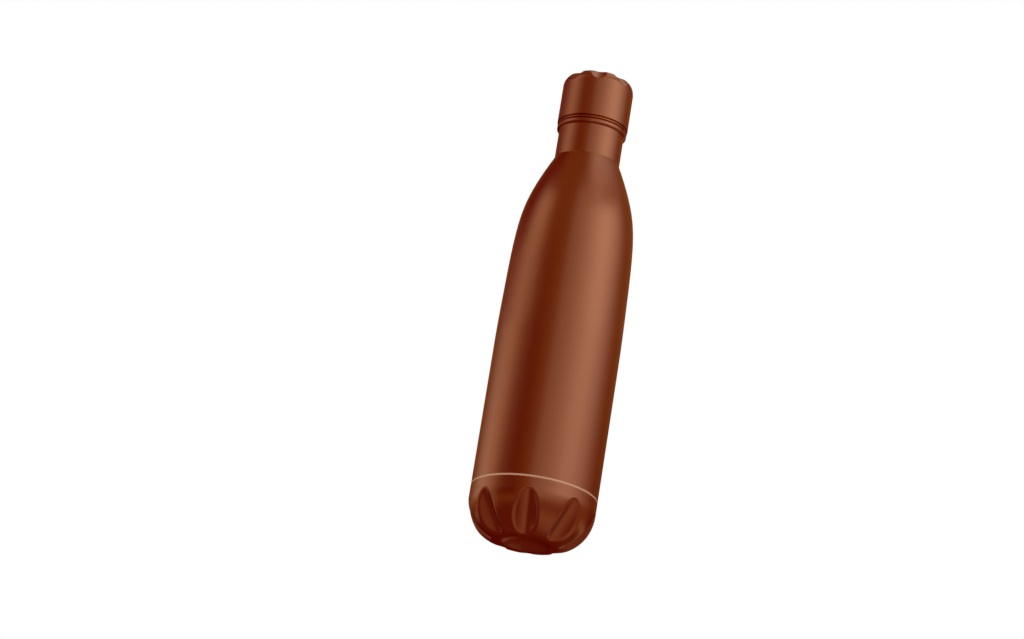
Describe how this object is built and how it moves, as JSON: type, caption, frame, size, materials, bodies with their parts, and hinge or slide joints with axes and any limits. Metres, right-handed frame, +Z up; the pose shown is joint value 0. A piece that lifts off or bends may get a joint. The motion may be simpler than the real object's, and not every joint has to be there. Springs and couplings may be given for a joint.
{
  "type": "insulated water bottle",
  "caption": "Double-walled vacuum water bottle in satin copper, with a fluted base, a slim accent band, a long shoulder and a scalloped screw cap with an insulated stopper.",
  "frame": {"origin": "centre of the foot ring, on the ground", "axes": "+Z up the bottle's axis to the cap; the first flute of the base faces -Y"},
  "size_m": [0.08, 0.08, 0.3165],
  "materials": {
    "copper_coat": "satin metallic copper lacquer",
    "gold_trim": "satin pale gold",
    "bare_steel": "fine brushed stainless",
    "copper_foil": "bright copper foil",
    "getter_metal": "matt sintered",
    "seal_glass": "fused glass",
    "silicone": "matt translucent silicone",
    "black_plastic": "fine satin polypropylene",
    "foam": "matt expanded foam"
  },
  "bodies": {
    "bottle": {"outer_shell": "copper_coat", "base_shell": "copper_coat", "accent_band": "gold_trim", "inner_flask": "bare_steel", "flask_bottom": "bare_steel", "mouth_ring": "copper_coat", "jacket_plate": "bare_steel", "vacuum_seal": "seal_glass", "getter": "getter_metal", "getter_clip": "bare_steel", "copper_foil": "copper_foil"},
    "gasket": {"mouth_gasket": "silicone"},
    "cap": {"cap_shell": "copper_coat", "cap_core": "black_plastic", "stopper_body": "black_plastic", "stopper_disc": "black_plastic", "stopper_foam": "foam"}
  },
  "joints": [
    {"name": "cap_lift", "type": "slide", "parent": "bottle", "child": "gasket", "axis": [0, 0, 1], "range_m": [0, 0.04]},
    {"name": "cap_turn", "type": "hinge", "parent": "gasket", "child": "cap", "pos_m": [0, 0, 0.2811], "axis": [0, 0, 1], "range_deg": [0, 1440]}
  ],
  "couplings": [
    {"joint": "cap_lift", "follows": "cap_turn", "m_per_rad": 0.0015915}
  ]
}
